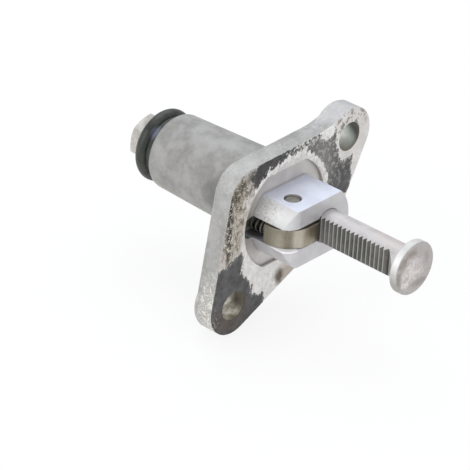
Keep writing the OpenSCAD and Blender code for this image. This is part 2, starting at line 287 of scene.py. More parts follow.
# %% Rubbed edges
rubbed, made, result = new_group("rubbed_edges", {"Width": 0.0004, "Break up scale": 900.0}, ["Mask"])
rounded = put(rubbed, "ShaderNodeBevel", {"Radius": made["Width"]}, samples=4).outputs[0]
plain = put(rubbed, "ShaderNodeNewGeometry").outputs["Normal"]
turn = put(rubbed, "ShaderNodeVectorMath", {0: rounded, 1: plain}, operation="DOT_PRODUCT").outputs["Value"]
gaps = noise_at(rubbed, place_of(rubbed), made["Break up scale"], 3.0)
edges = times(rubbed, ramp(rubbed, turn, 0.995, 0.9), ramp(rubbed, gaps, 0.35, 0.6))
fill(rubbed, result["Mask"], edges)
print("group", rubbed.name)

# %% Grime and painted shade in hollows
hollows, made, result = new_group("hollow_dirt_and_shade", {"Reach": 0.002}, ["Mask"])
sky_look = {"Distance": made["Reach"]}
open_sky = put(hollows, "ShaderNodeAmbientOcclusion", sky_look, samples=8, only_local=True).outputs["AO"]
fill(hollows, result["Mask"], ramp(hollows, open_sky, 0.85, 0.3))
print("group", hollows.name)

# %% A stain at one spot
stain, made, result = new_group(
    "ragged_stain",
    {"Centre": (0, 0, 0), "Radii": (0.01, 0.01, 0.01), "Ragged": 0.5, "Fade": 0.4, "Grain scale": 600.0},
    ["Mask"])
place = place_of(stain)
from_centre = vectors(stain, "SUBTRACT", place, made["Centre"])
in_radii = vectors(stain, "DIVIDE", from_centre, made["Radii"])
far = put(stain, "ShaderNodeVectorMath", {0: in_radii}, operation="LENGTH").outputs["Value"]
torn = noise_at(stain, place, made["Grain scale"], 4.0, 0.65)
ragged = times(stain, sums(stain, "SUBTRACT", torn, 0.5), made["Ragged"], 4.0)
rim_out = sums(stain, "ADD", 1.0, made["Fade"])
rim_in = sums(stain, "SUBTRACT", 1.0, made["Fade"])
ends = put(stain, "ShaderNodeMapRange", {0: sums(stain, "ADD", far, ragged), 1: rim_out, 2: rim_in})
fill(stain, result["Mask"], ends.outputs[0])
print("group", stain.name)

# %% [markdown]
# ## Finishes
# A finish could be one long node tree for each material. Here it is painted in coats, as a model maker
# would do it: a mottled ground, then one colour over the other, each where its masks are 1. The class
# keeps the tree and the topmost colour, so that a coat takes one line.

# %% A finish that is painted in coats
through_face = 10


class Finish:
    def __init__(self, name, metallic, scales, low, high):
        """Starts a material with a ground that is mottled between two colours."""
        self.material = bpy.data.materials.new(name)
        self.material.use_nodes = True
        self.tree = self.material.node_tree
        self.shader = self.tree.nodes["Principled BSDF"]
        self.feed("Metallic", metallic)
        self.texture = self.grained(*scales)
        self.patches = self.texture["Patches"]
        self.flecks = self.texture["Flecks"]
        self.base = self.mottled(low, high)

    def feed(self, socket_name, value):
        fill(self.tree, self.shader.inputs[socket_name], value)

    def grained(self, patch, fleck, pit):
        return use(self.tree, grain, Patch_scale=patch, Fleck_scale=fleck, Pit_scale=pit)

    def mottled(self, low, high):
        return over(self.tree, self.patches, colour(*low), colour(*high))

    def coat(self, shade, *masks):
        """Lays a colour, or another node's colour, over the rest where all the masks are 1."""
        above = shade if isinstance(shade, bpy.types.NodeSocket) else colour(*shade)
        self.base = over(self.tree, times(self.tree, *masks), self.base, above)

    def stain_at(self, centre, radii, ragged, fade, grain_scale):
        """The mask of a stain, placed by its centre and its three radii, in mm."""
        return use(self.tree, stain, Centre=Vector(centre) * MM, Radii=Vector(radii) * MM,
                   Ragged=ragged, Fade=fade, Grain_scale=grain_scale)["Mask"]

    def face_stain(self, middle, reach, ragged, fade, grain_scale):
        """The mask of a stain on the mounting face, placed by its Y and Z."""
        return self.stain_at((0, *middle), (through_face, *reach), ragged, fade, grain_scale)

    def spots(self, scale, level, shift=0.0):
        return use(self.tree, speckle, Scale=scale, Level=level, Shift=shift)["Mask"]

    def wear(self, width):
        return use(self.tree, rubbed, Width=width * MM)["Mask"]

    # Darkens the hollows that ambient occlusion finds: grime, and painted shade where the lamps shade anyway.
    def dirt_and_shade(self, reach):
        return use(self.tree, hollows, Reach=reach * MM)["Mask"]

    def done(self, roughness, depth, strength):
        """Connects the topmost colour, and lets the grain stand out by a depth in mm."""
        self.feed("Base Color", self.base)
        self.feed("Roughness", roughness)
        relief = {"Height": self.texture["Height"], "Distance": depth * MM, "Strength": strength}
        self.feed("Normal", put(self.tree, "ShaderNodeBump", relief).outputs[0])
        print("finish", self.material.name)


print("finishes can start")

# %% [markdown]
# ## Cast skin
# The barrel and the flange's rim keep the skin of the mould: dull grey aluminium with cloudy patches.
# The rim is speckled with pale corrosion, thickest on the lower ear, and edges shine where they were
# knocked. Each of these is a coat with a mask of its own.

# %% Finish of the casting
cast_skin = Finish("cast_skin", metallic=0.3, scales=(190, 1400, 2600), low=(140, 139, 137),
                   high=(166, 165, 164))
tree = cast_skin.tree
where = place_in_mm(tree)
on_rim = ramp(tree, where["X"], -5.6, -5.0)
clouds = cast_skin.grained(520, 900, 4000)["Patches"]
cast_skin.coat((174, 171, 166), clouds, 0.3)
pale_ear = cast_skin.stain_at((-2.5, 15, 22), (5, 7, 4), 0.4, 0.5, 300)
cast_skin.coat((212, 212, 214), pale_ear, 0.6)
pale_rim = cast_skin.stain_at((-2.5, -14.5, 16), (3, 10.5, 6), 0.4, 0.5, 350)
cast_skin.coat((206, 207, 204), pale_rim, on_rim, 0.45)
left_rim = times(tree, on_rim, ramp(tree, where["Z"], 15, 9))
cast_skin.coat((206, 205, 198), left_rim, 0.15)
barrel_shade = cast_skin.stain_at((-15.4, -9.4, 4), (3, 3, 4), 0.8, 0.6, 420)
cast_skin.coat((108, 108, 102), barrel_shade, 0.6)
underside = times(tree, ramp(tree, where["Z"], 3, -4), ramp(tree, where["X"], -6, -9))
cast_skin.coat((172, 170, 158), underside, 0.35)
cast_skin.coat((224, 223, 219), cast_skin.spots(1500, 0.56), on_rim, 0.16)
cast_skin.coat((130, 128, 120), cast_skin.spots(1300, 0.57, 0.7), on_rim, 0.15)
ear_crust = cast_skin.stain_at((-1.0, -22, -16), (3.2, 6, 8.5), 0.6, 0.5, 500)
cast_skin.coat((206, 205, 200), ear_crust, 0.4)
cast_skin.coat((244, 242, 234), ear_crust, cast_skin.spots(1700, 0.49, 1.3), 0.75)
cast_skin.coat((164, 150, 114), ear_crust, cast_skin.spots(2300, 0.57, 2.1), 0.6)
# Grime and painted shade in the casting's hollows.
cast_skin.coat((92, 90, 84), cast_skin.dirt_and_shade(2.5), 0.5)
cast_skin.coat((226, 226, 224), cast_skin.wear(0.5), 0.5)
cast_skin.done(roughness=ramp(tree, cast_skin.patches, 0, 1, 0.62, 0.5), depth=0.14, strength=0.7)

# %% [markdown]
# ## Mounting face
# The milled face was sealed by a gasket, and what the paper left is a cream bloom. Along the left edge,
# outside the gasket, oil has baked into a brown and black crust. The real scraps of gasket come later.

# %% Finish of the mounting face
mounting_face = Finish("mounting_face", metallic=0.1, scales=(320, 900, 3000), low=(230, 226, 220),
                       high=(248, 245, 242))
tree = mounting_face.tree
mounting_face.coat((250, 249, 247), mounting_face.flecks, 0.5)
mounting_face.coat((186, 176, 162), mounting_face.spots(1500, 0.57, 0.4), 0.3)
where = place_in_mm(tree)
down_edge = put(tree, "ShaderNodeCombineXYZ", {1: where["Y"], 2: times(tree, where["Z"], 0.45)}).outputs[0]
runs = noise_at(tree, down_edge, 1.3, 5.0, 0.68)
crust = mounting_face.face_stain((-20, 6), (4.2, 13), 0.45, 0.35, 420)
mounting_face.coat((172, 161, 143), crust, 0.8)
mounting_face.coat((112, 99, 80), crust, ramp(tree, runs, 0.5, 0.4), 0.8)
mounting_face.coat((236, 231, 221), crust, ramp(tree, runs, 0.54, 0.64), 0.85)
corner = mounting_face.face_stain((-16.8, 14), (4.4, 4.2), 0.4, 0.45, 420)
mounting_face.coat((150, 138, 116), corner, 0.55)
mounting_face.coat((96, 82, 62), corner, ramp(tree, runs, 0.54, 0.42), 0.75)
edge_runs = [((-21.5, 8), (0.7, 1.8)), ((-20.7, 10.8), (0.8, 1.6)), ((-19.2, 13), (1, 1.4)),
             ((-16.8, 15), (1.4, 1.1)), ((-13.8, 16.6), (1.8, 1.3))]
for middle, reach in edge_runs:
    edge_run = mounting_face.face_stain(middle, reach, 0.5, 0.5, 700)
    mounting_face.coat((58, 50, 39), edge_run, 0.8)
baked_line = mounting_face.face_stain((-20.7, 5), (0.9, 8), 0.5, 0.4, 700)
mounting_face.coat((44, 38, 30), baked_line, ramp(tree, runs, 0.64, 0.5), 0.9)
above_nose = mounting_face.face_stain((-4, 15.4), (9, 2.4), 0.4, 0.5, 500)
mounting_face.coat((190, 184, 177), above_nose, 0.4)
ear_tone = mounting_face.face_stain((20, 15), (7, 9), 0.3, 0.5, 300)
mounting_face.coat((196, 190, 184), ear_tone, 0.4)
ear_spots = mounting_face.face_stain((18.4, 19.2), (5.8, 2.8), 0.3, 0.4, 500)
mounting_face.coat((104, 96, 87), ear_spots, mounting_face.spots(620, 0.52, 2.4), 0.75)
recess_rim = mounting_face.face_stain((9, 10.5), (4, 7), 0.4, 0.5, 400)
mounting_face.coat((146, 143, 136), recess_rim, mounting_face.spots(800, 0.5, 1.6), 0.6)
oil_edge = mounting_face.face_stain((-0.4, -13), (4.4, 2.2), 0.4, 0.5, 500)
mounting_face.coat((166, 150, 126), oil_edge, 0.7)
oil_spot = mounting_face.face_stain((-3.2, -13.2), (1.2, 1.7), 0.35, 0.5, 500)
mounting_face.coat((74, 62, 46), oil_spot, 0.85)
mounting_face.done(roughness=0.65, depth=0.1, strength=0.7)

# %% [markdown]
# ## Bolt holes
# Both holes share one finish, although oil stained each of them brown in its own way, and painted shade
# darkens each wall below its upper edge. The upper one lies above the part's middle and the lower one below
# it, so a ramp along Z tells which one a point belongs to.

# %% Finish of the bolt holes
ear_y, ear_z = (18.26, 14.79)

hole_wall = Finish("hole_wall", metallic=0.1, scales=(420, 1300, 3000), low=(232, 240, 232),
                   high=(246, 250, 244))
tree = hole_wall.tree
where = place_in_mm(tree)
lower = ramp(tree, where["Z"], 2, -2)
upper = sums(tree, "SUBTRACT", 1.0, lower)
hole_wall.coat(hole_wall.mottled((146, 134, 110), (248, 243, 230)), lower)
shift = times(tree, sums(tree, "SUBTRACT", times(tree, lower, 2.0), 1.0), ear_z)
from_axis = sums(tree, "ADD", sums(tree, "ADD", where["Z"], shift), times(tree, lower, 0.8))
slant = sums(tree, "ADD", from_axis, times(tree, sums(tree, "ADD", where["X"], 2.2), 0.9))
# Painted shade below each hole's upper edge; in the upper hole it also deepens with depth.
lower_hole_shade = times(tree, ramp(tree, from_axis, -2.2, -0.2), lower)
upper_hole_shade = times(tree, ramp(tree, slant, -2.6, 0.9), upper)
hole_shade_tones = over(tree, lower, colour(66, 68, 60), colour(86, 80, 66))
hole_wall.coat(hole_shade_tones, sums(tree, "ADD", lower_hole_shade, upper_hole_shade), 0.9)
# Painted shade on the upper hole's left side.
upper_left_shade = ramp(tree, where["Y"], ear_y + 1.6, ear_y - 0.4)
hole_wall.coat((112, 110, 96), upper_left_shade, upper, 0.65)
upper_low = ramp(tree, where["Z"], ear_z - 1.9, ear_z - 3.4)
hole_wall.coat((128, 120, 104), upper_low, upper, 0.6)
deep_wall = times(tree, ramp(tree, where["X"], -2.4, -3.5), lower)
hole_wall.coat((250, 247, 238), deep_wall, ramp(tree, hole_wall.patches, 0, 1, 0.15, 0.7))
hole_wall.coat((132, 122, 102), ramp(tree, where["X"], -1.4, -0.3), 0.5)
hole_wall.coat((120, 116, 104), hole_wall.flecks, 0.3)
hole_wall.done(roughness=0.6, depth=0.08, strength=0.6)

# %% [markdown]
# ## Milled nose
# The nose and its recess were milled after casting, so they are the cleanest metal on the housing: pale,
# with a painted blue sky reflection on the faces that look up, and a rough cast patch left on the side
# beside the recess. Painted highlights lie on its lit side and on the lower jaw's land, and painted shade in
# the pit behind the pawl.

# %% Finish of the milled nose
milled = Finish("milled_nose", metallic=0.45, scales=(260, 2600, 5000), low=(203, 201, 202),
                high=(216, 214, 215))
tree = milled.tree
normal = put(tree, "ShaderNodeNewGeometry").outputs["Normal"]
facing = put(tree, "ShaderNodeSeparateXYZ", {0: normal}).outputs
# Painted sky reflection: faces that look up are paler and bluer.
milled.coat(milled.mottled((213, 217, 230), (222, 226, 238)), ramp(tree, facing["Z"], 0.6, 0.95))
# Painted shade on the pit floor behind the pawl.
shaded_pit_floor = milled.stain_at((-1.8, -9.9, 0.2), (3.4, 2, 0.6), 0.2, 0.3, 400)
milled.coat((114, 113, 110), shaded_pit_floor, 0.85)
# Painted highlight: the lower jaw's land in front of the pawl is near white and made not metallic, so it
# shines.
land_highlight = milled.stain_at((8.2, -10.8, 0.2), (4.2, 2.2, 0.4), 0.1, 0.15, 400)
milled.coat((252, 252, 253), land_highlight)
milled.feed("Metallic", ramp(tree, land_highlight, 0, 1, 0.45, 0.0))
# Painted highlight on the nose's side that faces the left lamp.
lit_side_highlight = milled.stain_at((5.2, -12.2, 7.6), (3.4, 3, 2.4), 0.3, 0.6, 300)
milled.coat((244, 248, 246), lit_side_highlight, 0.65)
cast_patch = milled.stain_at((1.2, -12.4, 8), (4.6, 4, 5), 0.4, 0.45, 500)
milled.coat((150, 147, 142), cast_patch, milled.spots(2200, 0.55, 0.9), 0.5)
milled.coat((240, 240, 240), cast_patch, milled.spots(2300, 0.55, 1.7), 0.7)
# Grime and painted shade in the nose's hollows.
milled.coat((132, 124, 116), milled.dirt_and_shade(1.2), 0.35)
milled.coat((244, 244, 246), milled.wear(0.25), 0.5)
milled.done(roughness=ramp(tree, milled.patches, 0, 1, 0.44, 0.54), depth=0.04, strength=0.6)

# %% Finishes of the recess and the slot
recess_floor = Finish("recess_floor", metallic=0.25, scales=(200, 1600, 4000), low=(198, 193, 189),
                      high=(213, 209, 205))
left_shade = recess_floor.stain_at((-0.7, -14, 3), (2, 3, 8), 0.2, 0.6, 200)
recess_floor.coat((120, 113, 106), left_shade, 0.55)
# Grime and painted shade in the recess's corners.
recess_floor.coat((104, 95, 86), recess_floor.dirt_and_shade(1.2), 0.5)
recess_floor.done(roughness=0.5, depth=0.03, strength=0.5)

# A darker copy of the milled metal: painted shade inside the slot and the pocket, with dark grime flecks.
shaded_slot = Finish("shaded_slot", metallic=0.3, scales=(300, 1600, 4000), low=(150, 147, 140),
                   high=(188, 185, 177))
shaded_slot.coat((70, 66, 58), shaded_slot.flecks, 0.5)
shaded_slot.done(roughness=0.55, depth=0.05, strength=0.5)

# %% [markdown]
# ## Housing
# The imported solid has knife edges, and a real casting has none. A copy is merged into a clean mesh, its
# flat areas are dissolved into single faces, and only the outward edges get a bevel weight: wide on the
# bolt seats, narrow on machined edges. A flat area with a hole can't be one face, so planes through the
# holes split the copy first. The faces also choose their finish by where they lie.

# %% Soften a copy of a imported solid
merge_within = 0.001 * MM
cut_within = merge_within / 10
flat_within = math.radians(0.3)
sharp_over = math.radians(25)


def settle(piece):
    """Turns a piece's live modifiers into a plain mesh."""
    view = bpy.context.evaluated_depsgraph_get()
    piece.data = bpy.data.meshes.new_from_object(piece.evaluated_get(view))
    piece.data.name = piece.name
    piece.modifiers.clear()


def softened(name, node_name, body, edge_width, widest, finishes, finish_of=None, split_by=()):
    """Copies a solid, bevels its outward edges and sorts its faces into finishes.

    edge_width gives an edge's bevel from its middle, both in mm. finish_of gives a face's finish, and
    without it every face takes the first one.
    """
    work = bmesh.new()
    work.from_mesh(nodes[node_name].data)
    bmesh.ops.remove_doubles(work, verts=work.verts[:], dist=merge_within)
    for place, way in split_by:
        parts = work.verts[:] + work.edges[:] + work.faces[:]
        cut = bmesh.ops.bisect_plane(work, geom=parts, dist=cut_within, plane_co=place, plane_no=way)
        for part in cut["geom_cut"]:
            if isinstance(part, bmesh.types.BMEdge):
                part.seam = True
    bmesh.ops.dissolve_limit(work, angle_limit=flat_within, verts=work.verts[:], edges=work.edges[:],
                             delimit={"SEAM"})
    weight = work.edges.layers.float.new("bevel_weight_edge")
    for edge in work.edges:
        edge.smooth = edge.calc_face_angle(0) < sharp_over
        if edge.calc_face_angle_signed(0) > sharp_over:
            middle = (edge.verts[0].co + edge.verts[1].co) / 2 / MM
            edge[weight] = edge_width(middle) / widest
            edge.smooth = edge[weight] > 0
    for face in work.faces:
        face.smooth = True
        finish = finish_of(face.calc_center_median() / MM, face.normal) if finish_of else finishes[0]
        face.material_index = finishes.index(finish)
    rough = bpy.data.meshes.new(name)
    work.to_mesh(rough)
    work.free()
    old_normals = rough.attributes.get("custom_normal")
    if old_normals is not None:
        rough.attributes.remove(old_normals)
    for finish in finishes:
        rough.materials.append(finish.material)
    piece = show(name, rough)
    rounding = piece.modifiers.new("rounding", "BEVEL")
    rounding.limit_method = "WEIGHT"
    rounding.width = widest * MM
    rounding.segments = 3
    rounding.use_clamp_overlap = False
    rounding.miter_outer = "MITER_ARC"
    shading = piece.modifiers.new("shading", "WEIGHTED_NORMAL")
    shading.keep_sharp = True
    settle(piece)
    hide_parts(node_name)
    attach(piece, body)
    print(name, len(piece.data.polygons), "faces")


# %% Make the housing
plunger_axis = (0.4, 2.9)
nose_middle = (-2.5, 2.9)
hole_r = 3.5
flange_t = 4.9
recess_depth = 0.75
recess_r = 13.05
barrel_outside = 8.5
slot_half = 2.7
slot_front = 9
pocket_depth = 3.5
pin_low, pin_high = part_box("pawl_pin")
pin_middle = (pin_low + pin_high) / 2

# Bevels, in mm
hole_bevel = 0.04
face_bevel = 0.12
milled_bevel = 0.15
seat_bevel = 0.4

# Room that a comparison leaves, in mm
near = 0.1
level = 0.05
on_plane = 0.02
beside_recess = 0.15
below_recess = 0.01
behind_flange = 0.3

# The least X of a normal that looks forward, and the most of one that looks aside
looks_forward = 0.9
looks_aside = 0.5


def to_axis(point, axis):
    return math.hypot(point[1] - axis[0], point[2] - axis[1])


def to_ear(point):
    return min(to_axis(point, (ear_y, ear_z)), to_axis(point, (-ear_y, -ear_z)))


def housing_edge(middle):
    """An edge's bevel: none between the flange's faces or on the barrel, widest on the ears' seats."""
    in_hole = to_ear(middle) < hole_r + near
    if abs(middle[0]) < level:
        return hole_bevel if in_hole else face_bevel
    if middle[0] > 0:
        return milled_bevel
    if middle[0] > near - flange_t or to_axis(middle, plunger_axis) < barrel_outside:
        return 0
    return seat_bevel if middle[0] < -flange_t - behind_flange and not in_hole else milled_bevel


def housing_finish(middle, normal):
    if abs(middle[0]) < on_plane and normal.x > looks_forward:
        return mounting_face
    if to_ear(middle) < hole_r + near and abs(normal.x) < looks_aside:
        return hole_wall
    if middle[0] < -pocket_depth - near or to_axis(middle, nose_middle) > recess_r + beside_recess:
        return cast_skin
    if -recess_depth - below_recess <= middle[0] < level:
        return recess_floor
    in_slot = abs(middle[2] - nose_middle[1]) < slot_half - near
    return shaded_slot if middle[0] < 0 or (in_slot and middle[0] < slot_front) else milled


through_holes = [((0, 0, 0), (0, -ear_z, ear_y)), (pin_middle, (1, 0, 0))]
softened("cast_housing", "housing", "body", housing_edge, seat_bevel,
         [cast_skin, mounting_face, milled, recess_floor, hole_wall, shaded_slot], housing_finish,
         split_by=through_holes)

# %% [markdown]
# ## Torn gasket
# A paper gasket sealed the mounting face, and most of it tore away with the part's removal: a dark film
# stays on the lower ear and in a band above the nose, and pale paper fibres cling along its edge. A torn
# sheet is best thought of as a landscape: a height that is positive where the sheet is left, pushed up and
# down by noise. The sheet is cut along the zero line, cell by cell, so its edge is ragged but not stepped.

# %% Measure the mounting face
face_grid = 0.13
face_ys = np.arange(-27, 27, face_grid)
face_zs = np.arange(-24, 24, face_grid)


def mounting_face_room():
    """How far each grid point lies inside the mounting face's own edges, in mm, and below zero outside."""
    work = bmesh.new()
    work.from_mesh(nodes["housing"].data)
    bmesh.ops.remove_doubles(work, verts=work.verts[:], dist=merge_within)
    forward = [f for f in work.faces if f.normal.x > looks_forward]
    on_face = {f for f in forward if abs(f.calc_center_median().x) < on_plane * MM}
    rims = [e for e in work.edges if len(on_face.intersection(e.link_faces)) == 1]
    steps = 16
    spots = [e.verts[0].co.lerp(e.verts[1].co, i / steps) / MM for e in rims for i in range(steps)]
    nearest = kdtree.KDTree(len(spots))
    for i, spot in enumerate(spots):
        nearest.insert(Vector((0, spot.y, spot.z)), i)
    nearest.balance()
    outlines = [[v.index for v in f.verts] for f in on_face]
    surface = BVHTree.FromPolygons([v.co / MM for v in work.verts], outlines)
    room = np.zeros((len(face_ys), len(face_zs)))
    for i, y in enumerate(face_ys):
        for j, z in enumerate(face_zs):
            hit = surface.ray_cast(Vector((1, y, z)), Vector((-1, 0, 0)))[0] is not None
            room[i, j] = nearest.find(Vector((0, y, z)))[2] * (1 if hit else -1)
    work.free()
    return room


face_room = mounting_face_room()
print("mounting face covers", round(float((face_room > 0).sum()) * face_grid ** 2), "square mm")

# %% Shape the landscape of a torn sheet
def inside_zone(zone):
    """Distance of each grid point inside a zone's outline, in mm, and below zero outside."""
    y, z = np.meshgrid(face_ys, face_zs, indexing="ij")
    far = np.full(y.shape, np.inf)
    inside = np.zeros(y.shape, bool)
    for (ya, za), (yb, zb) in zip(zone, zone[1:] + zone[:1]):
        reach = (y - ya) * (yb - ya) + (z - za) * (zb - za)
        along = np.clip(reach / ((yb - ya) ** 2 + (zb - za) ** 2), 0, 1)
        far = np.minimum(far, np.hypot(y - ya - along * (yb - ya), z - za - along * (zb - za)))
        crosses = (za > z) != (zb > z)
        with np.errstate(divide="ignore", invalid="ignore"):
            inside ^= crosses & (y < (yb - ya) * (z - za) / (zb - za) + ya)
    return np.where(inside, far, -far)


def torn_height(zone, tear, tear_size, seed):
    """The landscape of a torn zone, roughened by noise that runs along the paper's fibres."""
    left = inside_zone(zone)
    fibre = Vector((0.35, 0.94))
    stretch = 2.6
    falloff = 0.45
    lacunarity = 2.2
    octaves = 6
    for i, j in zip(*np.nonzero(np.minimum(left + 2 * tear, face_room) > 0)):
        y, z = face_ys[i], face_zs[j]
        across = (y * fibre.y - z * fibre.x) / tear_size
        along = (y * fibre.x + z * fibre.y) / tear_size / stretch
        left[i, j] += tear * noise.fractal(Vector((across, along, seed)), falloff, lacunarity, octaves)
    return left


print("landscapes can be shaped on", len(face_ys), "by", len(face_zs), "points")

# %% Cut a sheet out of its landscape
sheet_sunk = -0.03
rim_share = 0.3
rim_width = 0.35
lump_share = 0.35
lump_pitch = 1.7
crease = math.radians(50)


def torn_sheet(name, torn, thick, finish):
    """Cuts a sheet out of its landscape and the mounting face; each point keeps its room to the tear."""
    height = np.minimum(torn, face_room)
    corners = []
    rooms = []
    made = {}
    lump_seed = thick * 40

    def corner(key, y, z, left, room):
        if key not in made:
            made[key] = len(corners)
            lump = lump_share * noise.noise(Vector((y * lump_pitch, z * lump_pitch, lump_seed)))
            risen = rim_share + (1 - rim_share) * min(1, left / rim_width)
            corners.append((thick * risen * (1 + lump), y, z))
            rooms.append(room)
        return made[key]

    faces = []
    for i in range(len(face_ys) - 1):
        for j in range(len(face_zs) - 1):
            cell = [(i, j), (i + 1, j), (i + 1, j + 1), (i, j + 1)]
            lefts = [height[c] for c in cell]
            if max(lefts) <= 0:
                continue
            ring = []
            for k in range(4):
                a, b = cell[k], cell[(k + 1) % 4]
                left_a, left_b = lefts[k], lefts[(k + 1) % 4]
                if left_a > 0:
                    ring.append(corner(a, face_ys[a[0]], face_zs[a[1]], left_a, torn[a]))
                if (left_a > 0) != (left_b > 0):
                    share = left_a / (left_a - left_b)
                    y = face_ys[a[0]] + share * (face_ys[b[0]] - face_ys[a[0]])
                    z = face_zs[a[1]] + share * (face_zs[b[1]] - face_zs[a[1]])
                    room = torn[a] + share * (torn[b] - torn[a])
                    ring.append(corner(tuple(sorted((a, b))), y, z, 0, room))
            faces.append(ring)
    count = len(corners)
    points = [Vector(c) * MM for c in corners] + [Vector((sheet_sunk, c[1], c[2])) * MM for c in corners]
    sides = {(a, b) for ring in faces for a, b in zip(ring, ring[1:] + ring[:1])}
    walls = [(b, a, a + count, b + count) for a, b in sorted(sides) if (b, a) not in sides]
    undersides = [[v + count for v in reversed(ring)] for ring in faces]
    mesh = bpy.data.meshes.new(name)
    mesh.from_pydata(points, [], faces + undersides + walls)
    edge_room = mesh.attributes.new("edge_room", "FLOAT", "POINT")
    edge_room.data.foreach_set("value", rooms + rooms)
    mesh.validate()
    mesh.shade_smooth()
    mesh.set_sharp_from_angle(angle=crease)
    mesh.materials.append(finish.material)
    print(name, len(mesh.polygons), "faces")
    return show(name, mesh)


# %% Finishes of the gasket
gasket_dark = Finish("gasket_dark", metallic=0.0, scales=(500, 1900, 3500), low=(76, 75, 76),
                     high=(101, 100, 99))
worn_web = gasket_dark.face_stain((9.2, 11.2), (4.2, 7.5), 0.4, 0.5, 350)
gasket_dark.coat((142, 140, 134), worn_web, 0.75)
worn_upper = gasket_dark.face_stain((8, 14), (13, 11), 0.3, 0.3, 400)
gasket_dark.coat((188, 185, 178), worn_upper, gasket_dark.spots(800, 0.53, 0.6), 0.6)
black_band = gasket_dark.face_stain((-8, 17), (9, 4), 0.3, 0.4, 400)
gasket_dark.coat((48, 46, 44), black_band, 0.55)
flake_zone = gasket_dark.face_stain((2.5, 19.2), (7.5, 1.8), 0.3, 0.3, 400)
gasket_dark.coat((228, 225, 218), flake_zone, gasket_dark.spots(1100, 0.51, 3.1), 0.85)
chip_zone = gasket_dark.face_stain((-24.4, -17.4), (1.2, 4.2), 0.6, 0.5, 500)
gasket_dark.coat((36, 33, 30), chip_zone, gasket_dark.spots(1400, 0.52, 4.2), 0.7)
gasket_dark.coat((182, 177, 164), chip_zone, gasket_dark.spots(1300, 0.54, 2.8), 0.65)
hole_oil = gasket_dark.face_stain((-19, -17), (5, 4), 0.5, 0.5, 400)
gasket_dark.coat((96, 82, 66), hole_oil, 0.5)
gasket_dark.coat((136, 133, 128), gasket_dark.flecks, 0.4)
room = put(gasket_dark.tree, "ShaderNodeAttribute", attribute_name="edge_room").outputs["Fac"]
by_tear = ramp(gasket_dark.tree, room, 0.75, 0.1)
gasket_dark.coat((196, 192, 184), by_tear, gasket_dark.spots(2400, 0.49, 0.2), 0.7)
gasket_dark.done(roughness=0.75, depth=0.08, strength=0.7)

gasket_paper = Finish("gasket_paper", metallic=0.0, scales=(600, 1700, 3500), low=(230, 226, 220),
                      high=(250, 248, 245))
gasket_paper.coat((176, 165, 150), gasket_paper.flecks, 0.3)
gasket_paper.done(roughness=0.85, depth=0.08, strength=0.7)

# %% Lay the dark film on the mounting face
film_thick = 0.09
ear_film = [(-26, -3.4), (-21.2, -3.7), (-19.7, -3.1), (-16.2, -1.8), (-15.6, -4.3), (-16.1, -7.1),
            (-13.7, -9.5), (-12.3, -12.1), (-12.3, -14), (-8.2, -15.6), (-8, -19), (-14, -23),
            (-22, -23), (-27, -16)]
band_film = [(-14.4, 16.2), (-11.9, 19), (-2.9, 21), (7.2, 21), (8.2, 18.4), (6, 17.2), (3.2, 17), (0, 17.2),
             (-3.1, 17), (-5.8, 16.2), (-8.5, 15.8), (-10.4, 14.6), (-12, 13), (-13.4, 13)]
web_film = [(4.2, 18.6), (7.6, 18.9), (8.6, 17.2), (11, 16.3), (12.6, 17.2), (13.4, 18.2), (13.6, 16.2),
            (14.3, 13.6), (15.4, 9.6), (16.6, 9), (19.8, 9.4), (19.6, 5.4), (20.2, 3.6), (18.4, 0.2),
            (14, 0.2), (11.9, 4.5), (11.4, 7), (10.2, 10.2), (8, 13.1), (5, 15.4), (3.2, 16.4)]
dark_left = np.maximum.reduce([
    torn_height(ear_film, 0.75, 0.8, 3.0), torn_height(band_film, 1.0, 0.9, 8.0),
    torn_height(web_film, 0.6, 0.9, 14.0)])
film = torn_sheet("gasket_film", dark_left, film_thick, gasket_dark)

# %% Lay the pale paper along the film
paper_thick = 0.13
under_film = 0.35
paper_strip = [(-12.4, 12.4), (-10.8, 14.8), (-8.4, 16), (-5.8, 16.5), (-3, 17.4), (1.5, 17.7), (6, 17.4),
               (6.4, 15.2), (3.3, 15.8), (-0.3, 16), (-3.7, 15.6), (-5.7, 15), (-9.4, 14), (-11.4, 12.2)]
paper_patch = [(7.6, 20.6), (11.4, 20.4), (13.2, 18.3), (10.9, 17.3), (8.3, 18.3)]
paper_arc = [(3.6, 15.6), (5.6, 14.4), (8.2, 11.6), (10, 8.6), (10.6, 5.6), (12.2, 5.2), (11.8, 7.4),
             (10.4, 10.6), (8.2, 13.6), (5, 16.2)]
paper_low = [(-15.6, -0.2), (-15.4, -4), (-15.8, -7), (-13.4, -9.4), (-11.9, -12), (-11.8, -13.8),
             (-7.8, -15.4), (-5, -14.8), (-6.5, -11), (-9.5, -9.6), (-12.6, -6), (-14.2, -3)]
paper_left = np.maximum.reduce([
    torn_height(paper_strip, 1.5, 1.1, 31.0), torn_height(paper_patch, 1.4, 1.1, 33.0),
    torn_height(paper_arc, 1.5, 1.1, 35.0), torn_height(paper_low, 1.2, 1.4, 37.0)])
paper_left = np.minimum(paper_left, under_film - dark_left)
scraps = torn_sheet("gasket_paper", paper_left, paper_thick, gasket_paper)
for sheet_piece in (film, scraps):
    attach(sheet_piece, "body")

# %% [markdown]
# ## Crust
# Beside the gasket, baked oil and corrosion stand up as grit. Geometry Nodes are made for this: points are
# scattered over a zone, each gets a small lump with its own size and turn, and everything is realised
# into one mesh. Numbers such as the density are the tree's named inputs, so one tree serves both kinds.

